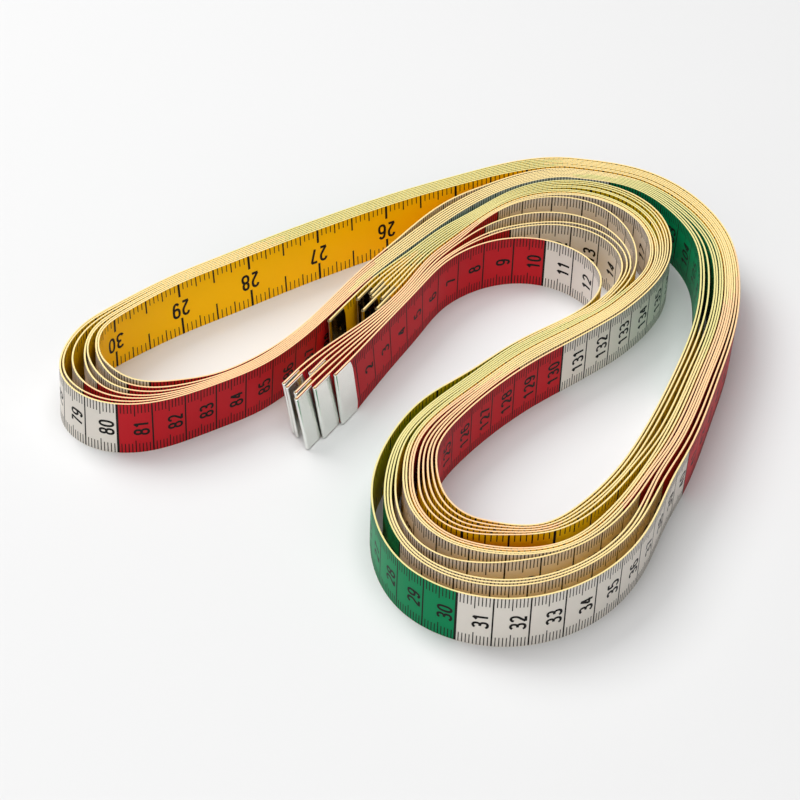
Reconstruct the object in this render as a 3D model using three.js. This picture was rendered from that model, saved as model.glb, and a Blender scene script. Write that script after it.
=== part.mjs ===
// A bundle of cloth tape measures: equal printed ribbons stacked face to face, standing on edge,
// folded once in the middle and laid in an S, with a folded metal clip on each ribbon's two ends.
// Millimetres and degrees, +Z up. +X is the bundle's right and +Y its far side; the origin is on the
// surface it stands on, under the middle of the bundle.
import * as THREE from "three";

// The ribbons.
const tapeCount = 7;
const tapeLength = 1526;
const tapeWidth = 18;
const tapeThickness = 0.42;
const tapeGap = 0.2;
const foldGap = 0.55;

// The metal clips, and how far in from the ribbon's edges they stop.
const clipLength = 8;
const clipPlate = 0.22;
const clipClearance = 0.08;
const clipInset = 0.25;
const clipEndGap = 0.3;

// How finely a bend is stepped, and how far apart the points are that lengths are measured on.
const stepTurn = 10;
const stepLength = 20;
const measureStep = 0.5;
const foldSides = 6;

// The rows below are drawn for a tape this many units long. A longer tape lies in a wider, looser S.
const drawnUnits = 1530;
const spread = tapeLength / drawnUnits;
const drawn = (rows) => rows.map(([x, y, ...rest]) => [x * spread, y * spread, ...rest]);

// Where each ribbon's zero end lies along the strand, from tape 1 to tape 7, and where the free ends bend,
// with a slit in place of the bend.
const zeroStations = [28.2, 20, 13.2, 15.5, 25, 16.2, 17.1].map((station) => station * spread);
const bendUnits = 84;
const bendStation = bendUnits * spread;
const bendSlit = 0.3;

const even = (count, opening) => new Array(count).fill(opening);

// The doubled strand, from its ends round three bends to the neck where its two passes part. Each row
// is a place on a line along the strand at the upper edges, where that line lies across the layers from
// tape 1 on the right (0) to tape 1 again on the left (1), the lean of the ribbons to the left, and the
// slack between neighbouring layers from right to left. On the first bend the line is tape 1 itself.
const strandRows = [
  [-32.6, -34.9, 0, 15, [1.3, 1.35, ...even(4, 1.15), 0.1, ...even(6, 0.1)]],
  [-25, -20.6, 0, 14, [1.3, 1.35, ...even(4, 1.15), 0.1, ...even(6, 0.1)]],
  [-15.2, -3.5, 0, 9, [1.15, ...even(5, 0.9), 0.2, ...even(6, 0.3)]],
  [-4.7, 15.2, 0, 4.5, [...even(6, 0.26), 0.5, 0.72, 0.82, ...even(4, 0.72)]],
  [5.1, 32.9, 0, 2, [...even(6, 0.1), 0.5, 0.72, 0.82, ...even(4, 0.72)]],
  [12.6, 45.5, 0, 0, [0.3, 0.1, 0.5, 0.4, 0.2, 0.1, 0.2, 0.4, 0.3, 0.3, 0.2, 0.2, 0.2]],
  [19.8, 52.9, 0, 0, [0.9, 0.1, 1.5, 0.4, 0.2, 0.2, 0.2, 0.25, 0.25, 0.25, 0.2, 0.2, 0.2]],
  [30, 58.4, 0, 0, [3, 0.8, 3.2, 3.1, ...even(9, 0.02)]],
  [40, 59.5, 0, 0, [6.4, 0.7, 4.9, 7.6, 0.3, 0.2, 0.2, ...even(6, 0.3)]],
  [48.1, 57.2, 0, 0, [9.7, 1.3, 3.6, 7.9, 2.3, 0, 0, 0.1, 1.4, 0.1, 0.9, 0.4, 0.4]],
  [55.7, 51.4, 0, 0, [10.3, 1.4, 1.3, 4.1, 5.1, 0, 0, 0.1, 1, 0.2, 0.8, 0.4, 0.6]],
  [59.6, 44.7, 0, 0, [7.6, 1, 0.6, 1.2, 3.8, 0.1, 0.1, 0.1, 0.2, 0.2, 0.2, 0.2, 0.4]],
  [60.4, 37.2, 0, 0, [3.6, 0.1, 0.3, 0.8, 0.75, ...even(7, 0.08), 0.5]],
  [57.9, 29.8, 0, 0, [1.2, 0.1, 0.1, 0.1, 0.12, ...even(7, 0), 0.5]],
  [51.8, 22.2, 0, 0, [0.1, 0, 0, 0.1, ...even(8, 0), 0.5]],
  [44.3, 12.9, 0.25, 0, [0.1, 0.1, 0, 0.1, 0.1, 0, 0, 0, 0.1, 0.1, 0.1, 0, 0.6]],
  [35.9, 2.4, 0.5, 0, [0.25, 0.1, 0, 0.1, 0.1, 0, 0, 0, 0.1, 0.1, 0.1, 0.1, 0.6]],
  [22.6, -11.8, 0.5, 0, [1, ...even(11, 0.05), 0.5]],
  [12.3, -23.8, 0.5, 0, [2.3, 0, 0, 0.2, 0.3, 0, 0, 0, 0.4, 0.4, 0.1, 0.3, 0.5]],
  [4.8, -38, 0.5, 0, [2, 0, 0, 0.2, 0.7, 0, 0, 0, 0.8, 0.5, 0.5, 0.3, 0.6]],
  [2.4, -52, 0.5, 0, [2.8, 0.2, 0.2, 0.4, 1.3, 0.2, 0, 0.1, 1.1, ...even(4, 0.7)]],
  [4.5, -67.3, 0.5, 0, [3, 0.2, 0.2, 1.1, 3, 0.1, 0, 0.1, 1.3, ...even(4, 1.1)]],
  [13.5, -80.8, 0.5, 0, [3.6, 0.3, 0.3, 2.7, 5.2, 0.1, 0, 0.2, 2.5, ...even(4, 1.05)]],
  [30, -86.5, 0.5, 0, [4.2, 0.5, 0.5, 6.3, 2.4, 0.1, 0, 0.2, 4.5, ...even(4, 0.45)]],
  [46.9, -81.5, 0.5, 0, [4, 0.2, 0.3, 5.4, 0.4, 0, 0, 0, 4.4, ...even(4, 0.3)]],
  [59, -68.9, 0.5, -1, [2.7, 0.2, 0.5, 3.2, 0.5, 0.2, 0, 0.2, 2.6, 0.8, ...even(3, 0.4)]],
  [69.9, -48.5, 0.5, -1.5, [1.5, 1, 0.2, 0.6, 0.3, 0, 0, 0, 1.2, 0.8, 0.1, 0.7, 0.3]],
  [76, -35.1, 0.5, -1.5, [1, 1, 0.1, 0.3, 0, 0.3, 0, 0.3, 0.35, 0.7, 0.9, 0.7, 0.3]],
  [86.8, -5.3, 0.5, -2, [0.6, 0.7, 0, 0, 0.2, 0.2, 0, 0.2, 0.08, 0.6, 0.8, 0.7, 0.3]],
  [94.8, 22.7, 0.5, -2, [0.3, 0.3, 0.1, 0, 0.1, 0.1, 0, 0.1, 0.2, 0.2, 1.1, 0.9, 0.3]],
  [97.5, 44, 0.5, -2, [0.1, 0.1, 0.1, 0, 0, 0.1, 0, 0.1, 0.3, 0.1, 1.2, 0.9, 0.3]],
  [96.7, 61.4, 0.5, -2, [0.2, 0, 0.1, 0, 0.1, 0.1, 0, 0.1, 0.4, 0.2, 0.9, 0.6, 0.2]],
  [90.1, 78.3, 0.5, -2, [0.3, 0.1, 0.1, 0.1, 0.4, 0.1, 0.2, 0.2, 0.4, 0.2, 0.4, 0.3, 0.2]],
  [74.9, 93.8, 0.5, -1.2, [0.4, 0.12, 0.12, 0.12, 0.4, 0.12, 0.3, ...even(6, 0.13)]],
  [53, 99.1, 0.5, -0.8, [0.3, 0.12, 0.12, 0.12, 0.3, 0.12, 0.4, ...even(6, 0.15)]],
];

// The loop beyond the neck, from the neck round the fold and back to it, in the same form.
const loopRows = [
  [40, 100.4, 0.5, -3, even(6, 0.26)],
  [29, 96.3, 0.5, -5, even(6, 0.21)],
  [20, 91.9, 0.5, -6, even(6, 0.17)],
  [-2, 79.9, 0.5, -6, even(6, 0.15)],
  [-21.4, 67.5, 0.5, -6.2, even(6, 0.15)],
  [-40.3, 54.4, 0.5, -7, even(6, 0.15)],
  [-55.1, 43.5, 0.5, -8, even(6, 0.12)],
  [-69.6, 32.3, 0.5, -7, even(6, 0.1)],
  [-85, 17, 0.5, -2, [0.05, 0.3, 0.4, 0.05, 0.3, 0.05]],
  [-91.8, 8.1, 0.5, 1, [0.05, 0.8, 0.9, 0.05, 0.7, 0.05]],
  [-94.2, -2, 0.5, 2, [0.05, 1.5, 2.5, 0.1, 1.9, 0.1]],
  [-92.1, -12.3, 0.5, 2.5, [0.5, 2.4, 3, 1.2, 2.2, 0.8]],
  [-84.3, -19.8, 0.5, 2.5, [0.9, 1.6, 1.6, 1.9, 2, 1.8]],
  [-74, -21.6, 0.5, 1, [0.5, 0.6, 0.6, 1.2, 1.4, 2]],
  [-64.1, -19.1, 0.5, -1.5, [0.15, 0.15, 0.15, 0.4, 0.8, 1.8]],
  [-53.5, -14.2, 0.5, -2.8, [0, 0, 0, 0, 0.1, 0.6]],
  [-44, -7.5, 0.5, -2.6, [0, 0, 0, 0, 0, 0.4]],
  [-33.1, 4.2, 0.5, -3, even(6, 0)],
  [-21.8, 21.7, 0.5, -2.5, even(6, 0)],
  [-12, 38.2, 0.5, -1.5, even(6, 0.1)],
  [-0.1, 55.4, 0.5, 0, [...even(5, 0.18), 0.8]],
  [17.6, 77.8, 0.5, 0.5, [...even(5, 0.22), 1.6]],
  [28, 86.3, 0.5, 1, [...even(5, 0.15), 0.5]],
  [38.5, 92.7, 0.5, 1.2, [...even(5, 0.15), 0.4]],
];

// A natural cubic spline through values at knots, and its slope.
function smoothSpline(knots, values) {
  const last = knots.length - 1;
  const span = knots.slice(1).map((knot, i) => knot - knots[i]);
  const rise = span.map((width, i) => (values[i + 1] - values[i]) / width);
  const bend = new Array(last + 1).fill(0);
  const ratio = [0];
  const carry = [0];
  for (let i = 1; i < last; i += 1) {
    const pivot = 2 * (span[i - 1] + span[i]) - span[i - 1] * ratio[i - 1];
    ratio[i] = span[i] / pivot;
    carry[i] = (6 * (rise[i] - rise[i - 1]) - span[i - 1] * carry[i - 1]) / pivot;
  }
  for (let i = last - 1; i > 0; i -= 1) bend[i] = carry[i] - ratio[i] * bend[i + 1];
  return (at) => {
    const found = knots.findIndex((knot) => knot > at);
    const i = found < 0 ? last - 1 : Math.max(0, found - 1);
    const width = span[i];
    const a = (knots[i + 1] - at) / width;
    const b = 1 - a;
    const value = a * values[i] + b * values[i + 1]
      + ((a ** 3 - a) * bend[i] + (b ** 3 - b) * bend[i + 1]) * width ** 2 / 6;
    const slope = rise[i] + ((1 - 3 * a ** 2) * bend[i] + (3 * b ** 2 - 1) * bend[i + 1]) * width / 6;
    return { value, slope };
  };
}

// A line with its layers: at a distance along it, its place, its left, the lean and each layer's offset.
class Route {
  constructor(rows, baseGaps) {
    const knots = [0];
    for (let i = 1; i < rows.length; i += 1) {
      knots.push(knots[i - 1] + Math.hypot(rows[i][0] - rows[i - 1][0], rows[i][1] - rows[i - 1][1]));
    }
    this.knots = knots;
    this.x = smoothSpline(knots, rows.map((row) => row[0]));
    this.y = smoothSpline(knots, rows.map((row) => row[1]));
    this.across = smoothSpline(knots, rows.map((row) => row[2]));
    this.lean = smoothSpline(knots, rows.map((row) => row[3]));
    this.slack = baseGaps.map((_, gap) => smoothSpline(knots, rows.map((row) => row[4][gap])));
    this.baseGaps = baseGaps;
  }

  place(at) {
    const x = this.x(at);
    const y = this.y(at);
    const speed = Math.hypot(x.slope, y.slope);
    return {
      spot: new THREE.Vector2(x.value, y.value),
      left: new THREE.Vector2(-y.slope / speed, x.slope / speed),
      lean: THREE.MathUtils.degToRad(this.lean(at).value),
    };
  }

  offsets(at) {
    const places = [0];
    this.baseGaps.forEach((gap, i) => {
      const apart = tapeThickness + gap + this.slack[i](at).value;
      places.push(places[i] + apart * spread);
    });
    const line = places[places.length - 1] * this.across(at).value;
    return places.map((place) => place - line);
  }

  // Distances along the line close enough for its bends, from start to end.
  stations(start, end) {
    const list = [start];
    let before = this.place(start).left.angle();
    let turned = 0;
    for (let at = start + measureStep; at < end; at += measureStep) {
      const angle = this.place(at).left.angle();
      turned += Math.abs(Math.atan2(Math.sin(angle - before), Math.cos(angle - before)));
      before = angle;
      const walked = at - list[list.length - 1];
      if (THREE.MathUtils.radToDeg(turned) >= stepTurn || walked >= stepLength) {
        list.push(at);
        turned = 0;
      }
    }
    if (end - list[list.length - 1] < measureStep) list.pop();
    return [...list, end];
  }
}

const layerCount = 2 * tapeCount;
const tapeGaps = even(tapeCount - 1, tapeGap);
const strand = new Route(drawn(strandRows), [...tapeGaps, foldGap, ...tapeGaps]);
const neck = strand.knots[strand.knots.length - 1];

// The loop's line carries on from the middles of the strand's two halves, at the neck and just before it.
const middleAcross = 0.5;
function halfStrandRow(at, firstLayer, turn) {
  const { spot, left, lean } = strand.place(at);
  const offsets = strand.offsets(at);
  const centre = spot.addScaledVector(left, (offsets[firstLayer] + offsets[firstLayer + tapeCount - 1]) / 2);
  const slack = strand.slack.slice(firstLayer, firstLayer + tapeCount - 1).map((gap) => gap(at).value);
  const leanDegrees = THREE.MathUtils.radToDeg(lean);
  return [centre.x, centre.y, middleAcross, turn * leanDegrees, turn > 0 ? slack : slack.reverse()];
}
const leadIns = [18, 9, 3, 0].map((lead) => lead * spread);
const loop = new Route(
  [
    ...leadIns.map((lead) => halfStrandRow(neck - lead, 0, 1)),
    ...drawn(loopRows),
    ...leadIns.map((lead) => halfStrandRow(neck - lead, tapeCount, -1)).reverse(),
  ],
  tapeGaps,
);
const loopStart = loop.knots[leadIns.length - 1];
const loopEnd = loop.knots[loop.knots.length - leadIns.length];
const loopSpan = loopEnd - loopStart;
const wholeRoute = 2 * neck + loopSpan;

// A place on one tape, at a distance along the whole route: up the strand, round the loop and back.
function onTape(tape, at) {
  const inLoop = at > neck && at < neck + loopSpan;
  const back = at >= neck + loopSpan;
  const route = inLoop ? loop : strand;
  const here = inLoop ? at - neck + loopStart : back ? wholeRoute - at : at;
  const { spot, left, lean } = route.place(here);
  const layer = back ? layerCount - 1 - tape : tape;
  const top = spot.clone().addScaledVector(left, route.offsets(here)[layer]);
  const foot = top.clone().addScaledVector(left, -tapeWidth * Math.sin(lean));
  const height = tapeWidth * Math.cos(lean);
  return { top, foot, height, left: back ? left.negate() : left };
}

// The stations that all tapes share, so that neighbours step together and never cross.
const strandStations = [...strand.stations(0, bendStation), ...strand.stations(bendStation, neck).slice(1)];
const routeStations = [
  ...strandStations,
  ...loop.stations(loopStart, loopEnd).slice(1, -1).map((at) => at - loopStart + neck),
  ...strandStations.map((at) => wholeRoute - at).reverse(),
];

// The place along the route where a tape's length from its zero end is used up.
function farStation(tape) {
  let at = zeroStations[tape];
  let before = onTape(tape, at).top;
  let length = 0;
  while (length < tapeLength) {
    at += measureStep;
    const point = onTape(tape, at).top;
    const step = point.distanceTo(before);
    if (length + step >= tapeLength) return at - measureStep * (1 - (tapeLength - length) / step);
    length += step;
    before = point;
  }
  return at;
}

// A closed solid through equal rings of points, with flat ends. Each patch is split from its lower corner on
// one ring to its higher corner on the next, so that neighbouring ribbons twist alike.
function solidThroughRings(rings) {
  const side = rings[0].length;
  const points = rings.flat();
  const faces = [];
  for (let ring = 0; ring < rings.length - 1; ring += 1) {
    for (let corner = 0; corner < side; corner += 1) {
      const a = ring * side + corner;
      const b = ring * side + (corner + 1) % side;
      const rising = points[a].z <= points[b].z;
      if (rising) faces.push(a, b, b + side, a, b + side, a + side);
      else faces.push(a, b, a + side, b, b + side, a + side);
    }
  }
  const outline = rings[0].map((point) => new THREE.Vector2(point.u, point.v));
  const caps = THREE.ShapeUtils.triangulateShape(outline, []);
  const lastRing = (rings.length - 1) * side;
  caps.forEach(([a, b, c]) => faces.push(a, c, b, lastRing + a, lastRing + b, lastRing + c));
  const geometry = new THREE.BufferGeometry();
  const places = points.flatMap((point) => [point.x, point.y, point.z]);
  geometry.setAttribute("position", new THREE.Float32BufferAttribute(places, 3));
  geometry.setIndex(faces);
  geometry.computeVertexNormals();
  return geometry;
}

// A point beside a tape, at a share of its height; u and v lay the ring flat for its end faces.
function beside({ top, foot, height, left }, sideways, share, inset) {
  const rise = inset + (height - 2 * inset) * share;
  const spot = foot.clone().lerp(top, rise / height).addScaledVector(left, sideways);
  return { x: spot.x, y: spot.y, z: rise, u: sideways, v: rise };
}

// A ribbon's end lies flat in its clip: from the clip's open side it runs straight on to the tip.
function flatEnd(tape, endStation, inward) {
  const open = onTape(tape, endStation + inward * clipLength);
  const ahead = new THREE.Vector2(open.left.y, -open.left.x).multiplyScalar(-inward);
  const tip = {
    ...open,
    top: open.top.clone().addScaledVector(ahead, clipLength),
    foot: open.foot.clone().addScaledVector(ahead, clipLength),
  };
  return { open, tip, ahead };
}

function ribbonGeometry(tape, start, end, before, after) {
  const between = routeStations.filter((at) => at > start + measureStep && at < end - measureStep);
  const places = [...before, ...between.map((at) => onTape(tape, at)), ...after];
  const half = tapeThickness / 2;
  return solidThroughRings(
    places.map((place) => [
      beside(place, -half, 0, 0),
      beside(place, half, 0, 0),
      beside(place, half, 1, 0),
      beside(place, -half, 1, 0),
    ]),
  );
}

// A clip: a strip of sheet folded round the ribbon's end, open towards the ribbon. Its outline lies flat
// and is raised from the lower to the upper edge along the ribbon's lean.
function clipGeometry({ open, tip, ahead }, inward) {
  const inner = tapeThickness / 2 + clipClearance;
  const outer = inner + clipPlate;
  const round = (radius, share) => {
    const places = [];
    for (let i = 0; i <= foldSides; i += 1) {
      const angle = (Math.PI * i) / foldSides;
      const place = beside(tip, inward * radius * Math.cos(angle), share, clipInset);
      const reach = clipEndGap + radius * Math.sin(angle);
      places.push({ ...place, x: place.x + ahead.x * reach, y: place.y + ahead.y * reach });
    }
    return places;
  };
  const ring = (share) => [
    beside(open, inward * outer, share, clipInset),
    ...round(outer, share),
    beside(open, -inward * outer, share, clipInset),
    beside(open, -inward * inner, share, clipInset),
    ...round(inner, share).reverse(),
    beside(open, inward * inner, share, clipInset),
  ].map((point) => ({ ...point, u: point.x, v: point.y }));
  return solidThroughRings([ring(0), ring(1)]);
}

const cloth = new THREE.MeshStandardMaterial({ color: 0xd9a21b, roughness: 0.45, metalness: 0 });
const looseCloth = new THREE.MeshStandardMaterial({ color: 0xbc2a34, roughness: 0.45, metalness: 0 });
const clipMetal = new THREE.MeshStandardMaterial({ color: 0xd7dcd7, roughness: 0.2, metalness: 1 });

const bundle = new THREE.Group();
function add(name, geometry, material) {
  const mesh = new THREE.Mesh(geometry, material);
  mesh.name = name;
  bundle.add(mesh);
}

for (let tape = 0; tape < tapeCount; tape += 1) {
  const label = tape + 1;
  const zero = zeroStations[tape];
  const far = farStation(tape);
  const zeroEnd = flatEnd(tape, zero, 1);
  const farEnd = flatEnd(tape, far, -1);
  const slitStart = bendStation - bendSlit / 2;
  const slitEnd = bendStation + bendSlit / 2;
  const looseRings = [[zeroEnd.tip, zeroEnd.open], [onTape(tape, slitStart)]];
  const mainRings = [[onTape(tape, slitEnd)], [farEnd.open, farEnd.tip]];
  add(`free_end_${label}`, ribbonGeometry(tape, zero + clipLength, slitStart, ...looseRings), looseCloth);
  add(`ribbon_${label}`, ribbonGeometry(tape, slitEnd, far - clipLength, ...mainRings), cloth);
  add(`zero_clip_${label}`, clipGeometry(zeroEnd, 1), clipMetal);
  add(`far_clip_${label}`, clipGeometry(farEnd, -1), clipMetal);
}

// The bundle is moved so that the middle of its outline is over the origin.
const outline = new THREE.Box3().setFromObject(bundle);
const middle = outline.getCenter(new THREE.Vector3());
bundle.children.forEach((mesh) => mesh.geometry.translate(-middle.x, -middle.y, -outline.min.z));
const size = outline.getSize(new THREE.Vector3());
console.log(`bundle ${size.x.toFixed(2)} x ${size.y.toFixed(2)} x ${size.z.toFixed(2)} mm`);
console.log(`middle of the rows ${middle.x.toFixed(2)}, ${middle.y.toFixed(2)}`);

// The least clear space that a ribbon keeps to itself, on points this far apart along it. Points nearer than
// a number of steps are neighbours on the same stretch.
const gapStep = 2;
const neighbourSteps = 40;
for (let tape = 0; tape < tapeCount; tape += 1) {
  const places = [];
  const far = farStation(tape);
  for (let at = zeroStations[tape]; at < far; at += gapStep) places.push(onTape(tape, at));
  let least = Infinity;
  for (let i = 0; i < places.length; i += 1) {
    for (let j = i + neighbourSteps; j < places.length; j += 1) {
      const above = places[i].top.distanceTo(places[j].top);
      const below = places[i].foot.distanceTo(places[j].foot);
      least = Math.min(least, above, below);
    }
  }
  console.log(`ribbon ${tape + 1}: least gap to itself ${(least - tapeThickness).toFixed(2)} mm`);
}

export default bundle;
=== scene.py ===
"""A bundle of printed cloth tape measures, on edge and laid in an S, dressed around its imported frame."""

import logging
import math
from dataclasses import dataclass
from enum import Enum
from typing import NamedTuple

import bpy
import numpy as np
from mathutils import Color, Matrix


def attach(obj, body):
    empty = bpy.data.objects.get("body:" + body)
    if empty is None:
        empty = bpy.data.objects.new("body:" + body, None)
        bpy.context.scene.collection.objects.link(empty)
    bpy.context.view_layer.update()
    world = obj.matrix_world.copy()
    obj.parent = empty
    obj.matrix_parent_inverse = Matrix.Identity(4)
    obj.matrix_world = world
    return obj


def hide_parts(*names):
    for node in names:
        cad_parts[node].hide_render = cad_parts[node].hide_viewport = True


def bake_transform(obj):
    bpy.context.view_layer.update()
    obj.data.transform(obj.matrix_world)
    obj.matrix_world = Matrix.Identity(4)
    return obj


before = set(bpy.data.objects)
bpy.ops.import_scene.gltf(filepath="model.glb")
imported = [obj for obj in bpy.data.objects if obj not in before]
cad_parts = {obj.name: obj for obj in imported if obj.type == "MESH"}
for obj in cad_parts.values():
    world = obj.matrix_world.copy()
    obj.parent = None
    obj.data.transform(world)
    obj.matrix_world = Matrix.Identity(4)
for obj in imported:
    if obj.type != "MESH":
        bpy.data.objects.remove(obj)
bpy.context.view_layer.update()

Array = np.ndarray
log = logging.getLogger("tape_bundle")

MM = 0.001
SCREEN_WHITE = 255
TAPE_MAP = "tape"
BAKE_MAP = "OFBake"
STILL_BODY = "bundle"


def even(count: int, opening: float) -> tuple[float, ...]:
    """The same opening, count times."""
    return (opening,) * count


def eased(share: Array) -> Array:
    """A share from 0 to 1 that starts and ends gently: three times its square less twice its cube."""
    return share**2 * (3 - 2 * share)


def walked_along(points: Array) -> Array:
    """The distance walked from the first point to each of a row of flat points."""
    return np.concatenate([[0], np.cumsum(np.hypot(*np.diff(points, axis=0).T))])


class NaturalCurve:
    """A natural cubic through values at knots: its second slope is zero at both ends."""

    def __init__(self, knots: Array, values: Array) -> None:
        """Solves the knots' second slopes from the changes of slope between neighbouring spans.

        Args:
            knots: rising distances.
            values: the value at each knot.
        """
        self.knots = knots
        self.values = values
        self.span = np.diff(knots)
        self.rise = np.diff(values) / self.span
        size = len(knots)
        inner = np.arange(1, size - 1)
        matrix = np.eye(size)
        matrix[inner, inner - 1] = self.span[:-1]
        matrix[inner, inner] = 2 * (self.span[:-1] + self.span[1:])
        matrix[inner, inner + 1] = self.span[1:]
        change = np.zeros(size)
        change[1:-1] = 6 * np.diff(self.rise)
        self.bend = np.linalg.solve(matrix, change)

    def at(self, where: Array) -> tuple[Array, Array]:
        """The curve's value and slope.

        Args:
            where: distances along the curve.

        Returns:
            Values and slopes at those distances.
        """
        i = np.clip(np.searchsorted(self.knots, where, side="right") - 1, 0, len(self.span) - 1)
        width = self.span[i]
        a = (self.knots[i + 1] - where) / width
        b = 1 - a
        curve = (a**3 - a) * self.bend[i] + (b**3 - b) * self.bend[i + 1]
        value = a * self.values[i] + b * self.values[i + 1] + curve * width**2 / 6
        turn = (1 - 3 * a**2) * self.bend[i] + (3 * b**2 - 1) * self.bend[i + 1]
        return value, self.rise[i] + turn * width / 6


class Row(NamedTuple):
    """A place that a line of layered ribbons goes through. Sizes are in millimetres, the lean in degrees.

    Across is the share of the layers' depth that lies to the line's right, and slack is the room between
    neighbouring layers beyond their usual gap.
    """

    x: float
    y: float
    across: float
    lean: float
    slack: tuple[float, ...]


@dataclass
class LayeredLine:
    """A line seen from above with ribbons layered across it. Sizes are in millimetres, leans in degrees."""

    rows: list[Row]
    gaps: tuple[float, ...]
    thickness: float
    spread: float

    def __post_init__(self) -> None:
        """Lays the curves through the rows, on knots a straight distance apart."""
        self.knots = walked_along(np.array([(row.x, row.y) for row in self.rows]))
        self.x = self.curve([row.x for row in self.rows])
        self.y = self.curve([row.y for row in self.rows])
        self.across = self.curve([row.across for row in self.rows])
        self.lean = self.curve([row.lean for row in self.rows])
        self.slack = [self.curve(column) for column in zip(*(row.slack for row in self.rows))]

    def curve(self, values: list[float] | tuple[float, ...]) -> NaturalCurve:
        """A natural curve through one value to a row."""
        return NaturalCurve(self.knots, np.array(values, float))

    def place(self, where: Array) -> tuple[Array, Array, Array]:
        """Spots on the line, the directions to its left and the lean there.

        Args:
            where: distances along the line.

        Returns:
            Spots, left directions and leans in degrees.
        """
        x, dx = self.x.at(where)
        y, dy = self.y.at(where)
        speed = np.hypot(dx, dy)
        left = np.stack([-dy / speed, dx / speed], -1)
        return np.stack([x, y], -1), left, self.lean.at(where)[0]

    def offsets(self, where: Array) -> Array:
        """How far each layer lies to the left of the line: the running sum of thicknesses, gaps and slack.

        Args:
            where: distances along the line.

        Returns:
            Offsets, one column to a layer.
        """
        slacks = [slack.at(where)[0] for slack in self.slack]
        steps = [(self.thickness + gap + slack) * self.spread for gap, slack in zip(self.gaps, slacks)]
        places = np.cumsum(np.stack([np.zeros_like(where), *steps], -1), -1)
        return places - places[..., -1:] * self.across.at(where)[0][..., None]


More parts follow.
